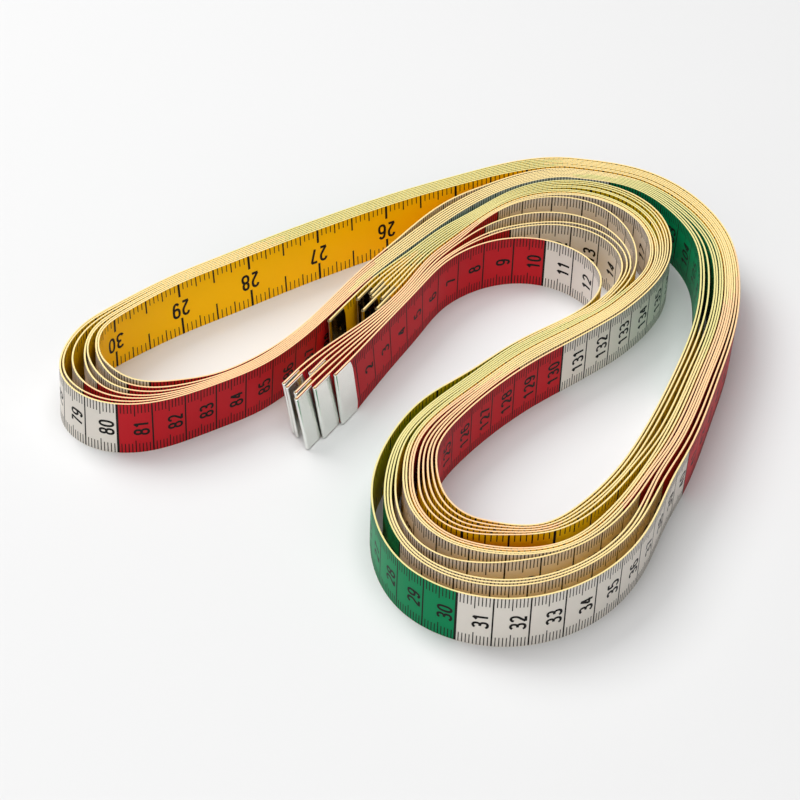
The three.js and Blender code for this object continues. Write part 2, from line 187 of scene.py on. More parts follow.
STRAND_ROWS: list[Row] = [
    Row(-32.6, -34.9, 0, 15, (1.3, 1.35, *even(4, 1.15), 0.1, *even(6, 0.1))),
    Row(-25, -20.6, 0, 14, (1.3, 1.35, *even(4, 1.15), 0.1, *even(6, 0.1))),
    Row(-15.2, -3.5, 0, 9, (1.15, *even(5, 0.9), 0.2, *even(6, 0.3))),
    Row(-4.7, 15.2, 0, 4.5, (*even(6, 0.26), 0.5, 0.72, 0.82, *even(4, 0.72))),
    Row(5.1, 32.9, 0, 2, (*even(6, 0.1), 0.5, 0.72, 0.82, *even(4, 0.72))),
    Row(12.6, 45.5, 0, 0, (0.3, 0.1, 0.5, 0.4, 0.2, 0.1, 0.2, 0.4, 0.3, 0.3, 0.2, 0.2, 0.2)),
    Row(19.8, 52.9, 0, 0, (0.9, 0.1, 1.5, 0.4, 0.2, 0.2, 0.2, 0.25, 0.25, 0.25, 0.2, 0.2, 0.2)),
    Row(30, 58.4, 0, 0, (3, 0.8, 3.2, 3.1, *even(9, 0.02))),
    Row(40, 59.5, 0, 0, (6.4, 0.7, 4.9, 7.6, 0.3, 0.2, 0.2, *even(6, 0.3))),
    Row(48.1, 57.2, 0, 0, (9.7, 1.3, 3.6, 7.9, 2.3, 0, 0, 0.1, 1.4, 0.1, 0.9, 0.4, 0.4)),
    Row(55.7, 51.4, 0, 0, (10.3, 1.4, 1.3, 4.1, 5.1, 0, 0, 0.1, 1, 0.2, 0.8, 0.4, 0.6)),
    Row(59.6, 44.7, 0, 0, (7.6, 1, 0.6, 1.2, 3.8, 0.1, 0.1, 0.1, 0.2, 0.2, 0.2, 0.2, 0.4)),
    Row(60.4, 37.2, 0, 0, (3.6, 0.1, 0.3, 0.8, 0.75, *even(7, 0.08), 0.5)),
    Row(57.9, 29.8, 0, 0, (1.2, 0.1, 0.1, 0.1, 0.12, *even(7, 0), 0.5)),
    Row(51.8, 22.2, 0, 0, (0.1, 0, 0, 0.1, *even(8, 0), 0.5)),
    Row(44.3, 12.9, 0.25, 0, (0.1, 0.1, 0, 0.1, 0.1, 0, 0, 0, 0.1, 0.1, 0.1, 0, 0.6)),
    Row(35.9, 2.4, 0.5, 0, (0.25, 0.1, 0, 0.1, 0.1, 0, 0, 0, 0.1, 0.1, 0.1, 0.1, 0.6)),
    Row(22.6, -11.8, 0.5, 0, (1, *even(11, 0.05), 0.5)),
    Row(12.3, -23.8, 0.5, 0, (2.3, 0, 0, 0.2, 0.3, 0, 0, 0, 0.4, 0.4, 0.1, 0.3, 0.5)),
    Row(4.8, -38, 0.5, 0, (2, 0, 0, 0.2, 0.7, 0, 0, 0, 0.8, 0.5, 0.5, 0.3, 0.6)),
    Row(2.4, -52, 0.5, 0, (2.8, 0.2, 0.2, 0.4, 1.3, 0.2, 0, 0.1, 1.1, *even(4, 0.7))),
    Row(4.5, -67.3, 0.5, 0, (3, 0.2, 0.2, 1.1, 3, 0.1, 0, 0.1, 1.3, *even(4, 1.1))),
    Row(13.5, -80.8, 0.5, 0, (3.6, 0.3, 0.3, 2.7, 5.2, 0.1, 0, 0.2, 2.5, *even(4, 1.05))),
    Row(30, -86.5, 0.5, 0, (4.2, 0.5, 0.5, 6.3, 2.4, 0.1, 0, 0.2, 4.5, *even(4, 0.45))),
    Row(46.9, -81.5, 0.5, 0, (4, 0.2, 0.3, 5.4, 0.4, 0, 0, 0, 4.4, *even(4, 0.3))),
    Row(59, -68.9, 0.5, -1, (2.7, 0.2, 0.5, 3.2, 0.5, 0.2, 0, 0.2, 2.6, 0.8, *even(3, 0.4))),
    Row(69.9, -48.5, 0.5, -1.5, (1.5, 1, 0.2, 0.6, 0.3, 0, 0, 0, 1.2, 0.8, 0.1, 0.7, 0.3)),
    Row(76, -35.1, 0.5, -1.5, (1, 1, 0.1, 0.3, 0, 0.3, 0, 0.3, 0.35, 0.7, 0.9, 0.7, 0.3)),
    Row(86.8, -5.3, 0.5, -2, (0.6, 0.7, 0, 0, 0.2, 0.2, 0, 0.2, 0.08, 0.6, 0.8, 0.7, 0.3)),
    Row(94.8, 22.7, 0.5, -2, (0.3, 0.3, 0.1, 0, 0.1, 0.1, 0, 0.1, 0.2, 0.2, 1.1, 0.9, 0.3)),
    Row(97.5, 44, 0.5, -2, (0.1, 0.1, 0.1, 0, 0, 0.1, 0, 0.1, 0.3, 0.1, 1.2, 0.9, 0.3)),
    Row(96.7, 61.4, 0.5, -2, (0.2, 0, 0.1, 0, 0.1, 0.1, 0, 0.1, 0.4, 0.2, 0.9, 0.6, 0.2)),
    Row(90.1, 78.3, 0.5, -2, (0.3, 0.1, 0.1, 0.1, 0.4, 0.1, 0.2, 0.2, 0.4, 0.2, 0.4, 0.3, 0.2)),
    Row(74.9, 93.8, 0.5, -1.2, (0.4, 0.12, 0.12, 0.12, 0.4, 0.12, 0.3, *even(6, 0.13))),
    Row(53, 99.1, 0.5, -0.8, (0.3, 0.12, 0.12, 0.12, 0.3, 0.12, 0.4, *even(6, 0.15))),
]

LOOP_ROWS: list[Row] = [
    Row(40, 100.4, 0.5, -3, even(6, 0.26)),
    Row(29, 96.3, 0.5, -5, even(6, 0.21)),
    Row(20, 91.9, 0.5, -6, even(6, 0.17)),
    Row(-2, 79.9, 0.5, -6, even(6, 0.15)),
    Row(-21.4, 67.5, 0.5, -6.2, even(6, 0.15)),
    Row(-40.3, 54.4, 0.5, -7, even(6, 0.15)),
    Row(-55.1, 43.5, 0.5, -8, even(6, 0.12)),
    Row(-69.6, 32.3, 0.5, -7, even(6, 0.1)),
    Row(-85, 17, 0.5, -2, (0.05, 0.3, 0.4, 0.05, 0.3, 0.05)),
    Row(-91.8, 8.1, 0.5, 1, (0.05, 0.8, 0.9, 0.05, 0.7, 0.05)),
    Row(-94.2, -2, 0.5, 2, (0.05, 1.5, 2.5, 0.1, 1.9, 0.1)),
    Row(-92.1, -12.3, 0.5, 2.5, (0.5, 2.4, 3, 1.2, 2.2, 0.8)),
    Row(-84.3, -19.8, 0.5, 2.5, (0.9, 1.6, 1.6, 1.9, 2, 1.8)),
    Row(-74, -21.6, 0.5, 1, (0.5, 0.6, 0.6, 1.2, 1.4, 2)),
    Row(-64.1, -19.1, 0.5, -1.5, (0.15, 0.15, 0.15, 0.4, 0.8, 1.8)),
    Row(-53.5, -14.2, 0.5, -2.8, (0, 0, 0, 0, 0.1, 0.6)),
    Row(-44, -7.5, 0.5, -2.6, (0, 0, 0, 0, 0, 0.4)),
    Row(-33.1, 4.2, 0.5, -3, even(6, 0)),
    Row(-21.8, 21.7, 0.5, -2.5, even(6, 0)),
    Row(-12, 38.2, 0.5, -1.5, even(6, 0.1)),
    Row(-0.1, 55.4, 0.5, 0, (*even(5, 0.18), 0.8)),
    Row(17.6, 77.8, 0.5, 0.5, (*even(5, 0.22), 1.6)),
    Row(28, 86.3, 0.5, 1, (*even(5, 0.15), 0.5)),
    Row(38.5, 92.7, 0.5, 1.2, (*even(5, 0.15), 0.4)),
]


@dataclass
class BundleRoute:
    """The way that all the ribbons share: up the doubled strand, round the loop and back. Millimetres."""

    tapes: int = 7
    length: float = 1526.0
    drawn_units: float = 1530.0
    width: float = 18.0
    thickness: float = 0.42
    tape_gap: float = 0.2
    fold_gap: float = 0.55
    middle: tuple[float, float] = (1.5, 1.78)
    zero_units: tuple[float, ...] = (28.2, 20, 13.2, 15.5, 25, 16.2, 17.1)
    bend_units: float = 84.0
    lead_units: tuple[float, ...] = (18, 9, 3, 0)
    middle_across: float = 0.5

    def __post_init__(self) -> None:
        """Lays the strand, and the loop on from the two halves of the strand at its neck."""
        self.spread = self.length / self.drawn_units
        self.zeros = [station * self.spread for station in self.zero_units]
        self.bend_station = self.bend_units * self.spread
        leads = [lead * self.spread for lead in self.lead_units]
        gaps = even(self.tapes - 1, self.tape_gap)
        self.strand = self.line(self.drawn(STRAND_ROWS), (*gaps, self.fold_gap, *gaps))
        self.neck = self.strand.knots[-1]
        onward = [self.half_row(self.neck - lead, 0, 1) for lead in leads]
        back = [self.half_row(self.neck - lead, self.tapes, -1) for lead in reversed(leads)]
        self.loop = self.line([*onward, *self.drawn(LOOP_ROWS), *back], gaps)
        self.loop_start = self.loop.knots[len(leads) - 1]
        self.loop_end = self.loop.knots[-len(leads)]
        self.loop_span = self.loop_end - self.loop_start
        self.whole = 2 * self.neck + self.loop_span

    def line(self, rows: list[Row], gaps: tuple[float, ...]) -> LayeredLine:
        """A layered line of this bundle's ribbons."""
        return LayeredLine(rows, gaps, self.thickness, self.spread)

    def drawn(self, rows: list[Row]) -> list[Row]:
        """Rows at the size of these tapes: their places times the spread."""
        return [row._replace(x=row.x * self.spread, y=row.y * self.spread) for row in rows]

    def half_row(self, where: float, first: int, turn: int) -> Row:
        """A row in the middle of one half of the strand.

        Args:
            where: distance along the strand.
            first: the half's first layer.
            turn: 1 for the way on, -1 for the way back.

        Returns:
            The row for the loop's own line.
        """
        at = np.array([where])
        spot, left, lean = (value[0] for value in self.strand.place(at))
        offsets = self.strand.offsets(at)[0]
        last = first + self.tapes - 1
        centre = spot + left * (offsets[first] + offsets[last]) / 2
        slack = [float(curve.at(at)[0][0]) for curve in self.strand.slack[first:last]]
        return Row(*centre.tolist(), self.middle_across, turn * float(lean), tuple(slack[::turn]))

    def on_tape(self, tape: int, where: Array) -> tuple[Array, Array, Array]:
        """Upper edge, left direction and lean of one tape, picked from the strand, the loop or the way back.

        Args:
            tape: the tape, from 0 on.
            where: distances along the whole route.

        Returns:
            Spots, left directions and leans in radians.
        """
        back = where >= self.neck + self.loop_span
        looped = (where > self.neck) & ~back
        here = np.clip(np.where(back, self.whole - where, where), 0, self.neck)
        spot, left, lean = self.strand.place(here)
        layer = np.where(back, 2 * self.tapes - 1 - tape, tape)
        top = spot + left * np.take_along_axis(self.strand.offsets(here), layer[:, None], 1)
        turn = np.where(back, -1, 1)
        there = np.clip(where - self.neck + self.loop_start, self.loop_start, self.loop_end)
        loop_spot, loop_left, loop_lean = self.loop.place(there)
        loop_top = loop_spot + loop_left * self.loop.offsets(there)[:, tape : tape + 1]
        pick = looped[:, None]
        top = np.where(pick, loop_top, top) - np.array(self.middle)
        left = np.where(pick, loop_left, left * turn[:, None])
        return top, left, np.radians(np.where(looped, loop_lean, lean * turn))


class Side(Enum):
    """The two printed sides of a tape: which way each lies from the tape's middle."""

    CENTIMETRES = -1
    INCHES = 1


@dataclass
class Tape:
    """One tape's course along the route, as a ruled strip between its lower and upper edges. Millimetres."""

    route: BundleRoute
    number: int
    clip: float = 8.0
    cloth: float = 0.52
    walk_step: float = 0.5
    step: float = 1.0

    def __post_init__(self) -> None:
        """Walks the route in small steps, then keeps the strip at even lengths, straight inside the clips."""
        self.length = self.route.length
        walk = np.arange(self.route.zeros[self.number - 1], self.route.whole, self.walk_step)
        top, left, lean = self.route.on_tape(self.number - 1, walk)
        walked = walked_along(top)
        self.bend = float(np.interp(self.route.bend_station, walk, walked))
        marks = [self.clip, self.bend, self.length - self.clip, self.length]
        self.stations = np.unique(np.concatenate([np.arange(0, self.length, self.step), marks]))
        held = np.clip(self.stations, self.clip, self.length - self.clip)
        columns = [np.interp(held, walked, column) for column in (*top.T, *left.T, lean)]
        self.top = np.stack(columns[:2], -1)
        self.left = np.stack(columns[2:4], -1)
        self.left /= np.linalg.norm(self.left, axis=1, keepdims=True)
        self.lean = columns[4]
        ahead = np.stack([self.left[:, 1], -self.left[:, 0]], -1)
        self.top += ahead * (self.stations - held)[:, None]

    def place(self, along: Array, up: Array, out: Array) -> Array:
        """Points on or beside the tape: the lower edge, the rise along the leaning strip and the step aside.

        Args:
            along: lengths from the zero end.
            up: heights along the strip from its lower edge.
            out: steps to the left of the strip's middle.

        Returns:
            Points in metres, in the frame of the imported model.
        """
        columns = (*self.top.T, *self.left.T, self.lean)
        x, y, left_x, left_y, lean = (np.interp(along, self.stations, column) for column in columns)
        aside = out - (self.route.width - up) * np.sin(lean)
        return np.stack([x + left_x * aside, y + left_y * aside, up * np.cos(lean)], -1) * MM


@dataclass(frozen=True)
class BakeSheet:
    """Lays a tape's whole skin on a unit square, cut into strips that lie one above the other."""

    strips: int = 7
    length: float = 222.0
    pitch: float = 39.0
    margin: float = 0.01
    used: float = 0.97

    def lay(self, along: Array, first: Array, round_about: Array) -> Array:
        """Places on the square.

        Args:
            along: lengths along the tape at each corner.
            first: the least length of each corner's face, which picks the strip.
            round_about: distance round the tape's section at each corner.

        Returns:
            Map coordinates, one pair to a corner.
        """
        strip = np.floor(first / self.length)
        u = self.margin + self.used * (along - strip * self.length) / self.length
        v = (strip * self.pitch + round_about + self.margin) / (self.strips * self.pitch)
        return np.stack([u, v], -1)


def make_object(name: str, points: Array, faces: list, materials: list[bpy.types.Material],
                slots: Array | None = None, smooth: float | None = None) -> bpy.types.Object:
    """A mesh object at the origin.

    Args:
        name: the object's name.
        points: places in metres.
        faces: vertex numbers of each face.
        materials: the object's materials.
        slots: the material number of each face, or none for the first.
        smooth: the angle in degrees over which an edge stays sharp, or none for flat faces.

    Returns:
        The new object, linked to the scene.
    """
    mesh = bpy.data.meshes.new(name)
    mesh.from_pydata(points.tolist(), [], faces)
    for material in materials:
        mesh.materials.append(material)
    if slots is not None:
        mesh.polygons.foreach_set("material_index", slots.astype(np.int32))
    if smooth is not None:
        mesh.polygons.foreach_set("use_smooth", np.ones(len(mesh.polygons), bool))
        mesh.set_sharp_from_angle(angle=math.radians(smooth))
    mesh.update()
    made = bpy.data.objects.new(name, mesh)
    bpy.context.scene.collection.objects.link(made)
    return made


def add_map(made: bpy.types.Object, name: str, corners: Array) -> None:
    """Gives an object a map, one pair of coordinates to each face corner."""
    layer = made.data.uv_layers.new(name=name, do_init=False)
    layer.uv.foreach_set("vector", corners.astype(np.float32).ravel())


def ring_quads(count: int, size: int) -> Array:
    """The four-sided faces between neighbouring rings: each point, the next, and the same two one ring on.

    Args:
        count: how many rings there are.
        size: the points of each ring.

    Returns:
        The vertex numbers of the faces, ring by ring.
    """
    ring, corner = np.meshgrid(np.arange(count - 1), np.arange(size), indexing="ij")
    after = (corner + 1) % size
    here, there = ring * size, (ring + 1) * size
    return np.stack([here + corner, here + after, there + after, there + corner], -1).reshape(-1, 4)


class Face(Enum):
    """The kinds of face on a strip, by material number."""

    CENTIMETRES = 0
    INCHES = 1
    EDGE = 2


@dataclass
class Strip:
    """The woven body of a tape between two lengths: a section with eased edges, carried along the strip."""

    tape: Tape
    edge_ease: float = 0.07
    edge_flat: float = 0.2
    least_step: float = 0.001
    sharp_angle: float = 33.0

    def section(self) -> tuple[Array, Array, Array]:
        """The section's points and the finish of each of its sides.

        Returns:
            Steps to the left, heights up, and the material number of the side after each point.
        """
        half = self.tape.cloth / 2
        flat = self.edge_flat
        width = self.tape.route.width
        low, high, middle = self.edge_ease, width - self.edge_ease, width / 2
        out = np.array([*[-half] * 3, -flat, flat, *[half] * 3, flat, -flat])
        up = np.array([low, middle, high, width, width, high, middle, low, 0, 0])
        rim = [Face.EDGE] * 3
        kinds = [*[Face.CENTIMETRES] * 2, *rim, *[Face.INCHES] * 2, *rim]
        return out, up, np.array([kind.value for kind in kinds])

    def build(self, name: str, start: float, end: float,
              finishes: list[bpy.types.Material]) -> bpy.types.Object:
        """Carries the section along the strip and closes both ends.

        Args:
            name: the piece's name.
            start, end: lengths along the tape.
            finishes: the materials of the centimetre side, the inch side and the edges.

        Returns:
            The closed piece with its two maps.
        """
        out, up, finish = self.section()
        stations = self.tape.stations
        inside = (stations > start + self.least_step) & (stations < end - self.least_step)
        along = np.concatenate([[start], stations[inside], [end]])
        size, count = len(out), len(along)
        grid = [np.broadcast_to(a, (count, size)).ravel() for a in (along[:, None], up, out)]
        points = self.tape.place(*grid)
        first_cap = list(range(size))
        last_cap = [(count - 1) * size + i for i in reversed(first_cap)]
        faces = [*ring_quads(count, size)[:, ::-1].tolist(), first_cap, last_cap]
        slots = np.concatenate([np.tile(finish, count - 1), [Face.EDGE.value] * 2])
        made = make_object(name, points, faces, finishes, slots, self.sharp_angle)
        self.lay_maps(made, along, out, up)
        return made

    def lay_maps(self, made: bpy.types.Object, along: Array, out: Array, up: Array) -> None:
        """Lays the tape map, length by height in metres, and the bake map, with the ends folded to a line.

        Args:
            made: the piece.
            along: the lengths of its rings.
            out, up: its section.
        """
        size, count = len(out), len(along)
        steps = np.hypot(np.diff(out, append=out[0]), np.diff(up, append=up[0]))
        about = np.concatenate([[0], np.cumsum(steps)])
        ring, corner = np.meshgrid(np.arange(count - 1), np.arange(size), indexing="ij")
        ring_of = np.stack([ring + 1, ring + 1, ring, ring], -1).reshape(-1)
        corner_of = np.stack([corner, corner + 1, corner + 1, corner], -1).reshape(-1)
        first = np.repeat(along[ring.ravel()], 4)
        heights = np.append(up, up[0])
        tape_map = np.stack([along[ring_of], heights[corner_of]], -1) * MM
        bake_map = BakeSheet().lay(along[ring_of], first, about[corner_of])
        ends = np.repeat([along[0], along[-1]], size)
        cap_tape = np.stack([ends, np.concatenate([up, up[::-1]])], -1) * MM
        cap_bake = BakeSheet().lay(ends, ends, np.zeros(2 * size))
        add_map(made, TAPE_MAP, np.concatenate([tape_map, cap_tape]))
        add_map(made, BAKE_MAP, np.concatenate([bake_map, cap_bake]))


@dataclass(frozen=True)
class FigureSize:
    """How large a number is printed: a figure over its strokes, the step to the next, a stroke's width."""

    width: float
    height: float
    advance: float
    stroke: float


@dataclass
class Figures:
    """Drawn figures 0 to 9: strokes of even width along paths in a unit box, x to the right and y up."""

    path_step: float = 0.45
    round_power: float = 0.82
    bow_points: int = 40
    box_middle: float = 0.5

    def bow(self, centre: tuple[float, float], reach: tuple[float, float], start: float, end: float) -> Array:
        """A squarish arc: the powers of cosine and sine push it out towards its corners.

        Args:
            centre: the arc's centre.
            reach: its half width and half height.
            start, end: angles in degrees.

        Returns:
            Points along the arc.
        """
        turn = np.radians(np.linspace(start, end, self.bow_points))
        wave = np.stack([np.cos(turn), np.sin(turn)], -1)
        shaped = np.sign(wave) * np.abs(wave) ** self.round_power
        return np.array(centre) + shaped * np.array(reach)

    def paths(self, figure: str) -> list[Array]:
        """The strokes of one figure, as points in the unit box.

        Args:
            figure: one of the figures 0 to 9.

        Returns:
            The points of each stroke.
        """
        tail = [[0, 0.32], [0.01, 0.5], [0.06, 0.72], [0.2, 0.91], [0.45, 1], [0.72, 0.98], [0.95, 0.86]]
        six = [self.bow((0.5, 0.3), (0.5, 0.3), 0, 360), np.array(tail)]
        shapes = {
            "0": [self.bow((0.5, 0.5), (0.5, 0.5), 0, 360)],
            "1": [np.array([[0.1, 0.76], [0.58, 1], [0.58, 0]])],
            "2": [
                np.concatenate([self.bow((0.5, 0.71), (0.47, 0.29), 168, -38), [[0.03, 0]]]),
                np.array([[-0.02, 0], [1, 0]]),
            ],
            "3": [
                np.concatenate([self.bow((0.46, 0.76), (0.46, 0.24), 160, -90), [[0.28, 0.52]]]),
                np.concatenate([[[0.28, 0.52]], self.bow((0.46, 0.26), (0.54, 0.26), 90, -160)]),
            ],
            "4": [np.array([[0.74, 0], [0.74, 1]]), np.array([[0.7, 1], [0, 0.28], [1.04, 0.28]])],
            "5": [
                np.array([[0.94, 1], [0.1, 1]]),
                np.concatenate([[[0.12, 1], [0.06, 0.54]], self.bow((0.46, 0.31), (0.54, 0.32), 118, -160)]),
            ],
            "6": six,
            "7": [np.array([[0, 1], [1, 1]]), np.array([[0.96, 1], [0.3, 0]])],
            "8": [
                self.bow((0.5, 0.76), (0.43, 0.24), 0, 360),
                self.bow((0.5, 0.26), (0.5, 0.26), 0, 360),
            ],
            "9": [1 - path for path in six],
        }
        return shapes[figure]

    def band(self, line: Array, stroke: float) -> Array:
        """A stroke's two sides: even steps along its path, and half the stroke's width to each side.

        Args:
            line: the path's points.
            stroke: the stroke's width.

        Returns:
            The points of the left side, then those of the right side.
        """
        walked = walked_along(line)
        kept = np.linspace(0, walked[-1], max(2, int(walked[-1] / self.path_step) + 1))
        if len(line) < self.bow_points:
            kept = np.unique(np.concatenate([kept, walked]))
        line = np.stack([np.interp(kept, walked, column) for column in line.T], -1)
        course = np.gradient(line, axis=0)
        if np.allclose(line[0], line[-1]):
            course[0] = course[-1] = course[0] + course[-1]
        course /= np.linalg.norm(course, axis=1, keepdims=True)
        normal = np.stack([-course[:, 1], course[:, 0]], -1) * stroke / 2
        return np.concatenate([line + normal, line - normal])

    def draw(self, number: int, size: FigureSize) -> tuple[Array, Array]:
        """A whole number, drawn about its own middle.

        Args:
            number: the number to draw.
            size: how large it is.

        Returns:
            Flat points, and the four vertex numbers of each face.
        """
        points, faces, used = [], [], 0
        text = str(number)
        reach = np.array([size.width - size.stroke, size.height - size.stroke])
        for place, figure in enumerate(text):
            shift = np.array([(place - (len(text) - 1) / 2) * size.advance, 0])
            for path in self.paths(figure):
                band = self.band((path - self.box_middle) * reach + shift, size.stroke)
                n = len(band) // 2
                i = np.arange(n - 1)
                points.append(band)
                faces.append(np.stack([i, n + i, n + i + 1, i + 1], -1) + used)
                used += len(band)
        return np.concatenate(points), np.concatenate(faces)


class Mark(NamedTuple):
    """A printed line or number: points as length and height on the tape, four-sided faces, and the side."""

    points: Array
    faces: Array
    side: Side


class InchTick(NamedTuple):
    """A kind of tick on the inch side: every how many parts, its two lengths and its width."""

    every: int
    lower: float
    upper: float
    thick: float


@dataclass
class Print:
    """The scales on a tape's two sides: lines and figures of ink just above the cloth. Millimetres."""

    tape: Tape
    lift: float = 0.02
    edge_margin: float = 0.1
    clear_of_clip: float = 8.6
    centimetre: int = 10
    decade: int = 100
    centimetres: int = 150
    cm_line: float = 0.45
    decade_line: float = 0.7
    mm_tick: tuple[float, float] = (3.4, 0.28)
    half_cm_tick: tuple[float, float] = (4.5, 0.3)
    cm_figure: FigureSize = FigureSize(2.5, 4.75, 2.8, 0.76)
    cm_figure_gap: float = 0.85
    inches: int = 60
    inch: float = 25.4
    inch_parts: int = 16
    inch_ticks: tuple[InchTick, ...] = (
        InchTick(16, 5.85, 4.7, 0.8), InchTick(8, 5.85, 4.7, 0.55),
        InchTick(4, 4.1, 3.4, 0.4), InchTick(1, 3.15, 2.5, 0.3))
    inch_figure: FigureSize = FigureSize(2.95, 5.6, 3.5, 0.86)

    def shown(self, along: Array) -> Array:
        """Whether lengths are clear of both clips."""
        return (along > self.clear_of_clip) & (along < self.tape.length - self.clear_of_clip)

    def bars(self, along: Array, thick: Array | float, low: Array | float, high: Array | float,
             side: Side) -> list[Mark]:
        """Straight bars across the tape.

        Args:
            along: the middle of each bar.
            thick: its width along the tape.
            low, high: its lower and upper ends.
            side: the printed side.

        Returns:
            A mark of one face to each bar.
        """
        before, behind = along - thick / 2, along + thick / 2
        low = np.maximum(low, self.edge_margin)
        high = np.minimum(high, self.tape.route.width - self.edge_margin)
        ends = [(before, low), (behind, low), (behind, high), (before, high)]
        corners = np.stack([np.stack(np.broadcast_arrays(*end), -1) for end in ends], 1)
        return [Mark(four, np.arange(4)[None], side) for four in corners]

    def metric_bars(self) -> list[Mark]:
        """The centimetre side: a full line to each centimetre, and ticks from both edges between.

        Returns:
            A mark to each line or tick.
        """
        width, cm = self.tape.route.width, self.centimetre
        step = np.arange(1, cm * self.centimetres + 1)
        step = step[self.shown(step)]
        full = step[step % cm == 0].astype(float)
        rest = step[step % cm != 0].astype(float)
        line = np.where(full % self.decade == 0, self.decade_line, self.cm_line)
        reach, wide = (np.where(rest % (cm / 2) == 0, a, b) for a, b in zip(self.half_cm_tick, self.mm_tick))
        return [
            *self.bars(full, line, 0, width, Side.CENTIMETRES),
            *self.bars(rest, wide, 0, reach, Side.CENTIMETRES),
            *self.bars(rest, wide, width - reach, width, Side.CENTIMETRES),
        ]

    def inch_bars(self) -> list[Mark]:
        """The inch side: ticks from both edges, longest at the inch, then its half, quarters and the rest.

        Returns:
            A mark to each tick.
        """
        width = self.tape.route.width
        part = np.arange(1, self.inches * self.inch_parts + 1)
        part = part[self.shown(part * self.inch / self.inch_parts)]
        made = []
        taken = np.zeros(len(part), bool)
        for tick in self.inch_ticks:
            chosen = (part % tick.every == 0) & ~taken
            taken |= chosen
            along = part[chosen] * self.inch / self.inch_parts
            made += self.bars(along, tick.thick, 0, tick.lower, Side.INCHES)
            made += self.bars(along, tick.thick, width - tick.upper, width, Side.INCHES)
        return made

    def numbers(self) -> list[Mark]:
        """The figures of both sides, turned to their reading direction.

        Returns:
            A mark to each number that is clear of the clips.
        """
        middle = self.tape.route.width / 2
        figures = Figures()
        tall = self.cm_figure.height
        made = []
        for value in range(1, self.centimetres + 1):
            line = value * self.centimetre
            if line - tall >= self.clear_of_clip:
                flat, faces = figures.draw(value, self.cm_figure)
                along = line - self.cm_figure_gap - tall / 2 - flat[:, 1]
                made.append(Mark(np.stack([along, middle + flat[:, 0]], -1), faces, Side.CENTIMETRES))
        for value in range(1, self.inches):
            flat, faces = figures.draw(value, self.inch_figure)
            along = value * self.inch + flat[:, 0]
            made.append(Mark(np.stack([along, middle - flat[:, 1]], -1), faces, Side.INCHES))
        return [mark for mark in made if mark.points[:, 0].max() < self.tape.length - self.clear_of_clip]

    def build(self, name: str, start: float, end: float, ink: bpy.types.Material) -> bpy.types.Object:
        """Gathers what lies between two lengths and lays it on the tape's sides.

        Args:
            name: the piece's name.
            start, end: lengths along the tape; a mark belongs where its middle is.
            ink: the ink's finish.

        Returns:
            The ink as one piece.
        """
        spots, sides, faces, used = [], [], [], 0
        for mark in (*self.metric_bars(), *self.inch_bars(), *self.numbers()):
            if start <= mark.points[:, 0].mean() < end:
                spots.append(mark.points)
                sides.append(np.full(len(mark.points), mark.side.value))
                faces.append(mark.faces + used)
                used += len(mark.points)
        spot, side, quads = (np.concatenate(part) for part in (spots, sides, faces))
        places = self.tape.place(*spot.T, side * (self.tape.cloth / 2 + self.lift))
        quads = self.facing_out(places, quads, spot, side)
        made = make_object(name, places, quads.tolist(), [ink])
        self.lay_maps(made, spot, side, quads)
        return made

    def facing_out(self, places: Array, quads: Array, spot: Array, side: Array) -> Array:
        """Turns round each face that looks into the tape: its normal against a step away from the cloth.

        Args:
            places: the points in metres.
            quads: the faces.
            spot: the points' lengths and heights on the tape.
            side: which way each point lies from the tape's middle.

        Returns:
            The faces, all looking outwards.
        """
        a, b, c = (places[quads[:, i]] for i in range(3))
        normal = np.cross(b - a, c - a)
        first = quads[:, 0]
        away = self.tape.place(*spot[first].T, side[first] * self.tape.cloth)
        inward = np.einsum("ij,ij->i", normal, away - places[first]) < 0
        return np.where(inward[:, None], quads[:, ::-1], quads)

    def lay_maps(self, made: bpy.types.Object, spot: Array, side: Array, quads: Array) -> None:
        """Lays the same two maps as on the cloth below.

        Args:
            made: the piece.
            spot: its points' lengths and heights on the tape.
            side: which way each point lies from the tape's middle.
            quads: its faces.
        """
        corners = quads.ravel()
        along, up = spot[corners].T
        about = np.where(side[corners] < 0, up, 2 * self.tape.route.width - up)
        first = np.repeat(spot[quads, 0].min(1), 4)
        add_map(made, TAPE_MAP, np.stack([along, up], -1) * MM)
        add_map(made, BAKE_MAP, BakeSheet().lay(along, first, about))


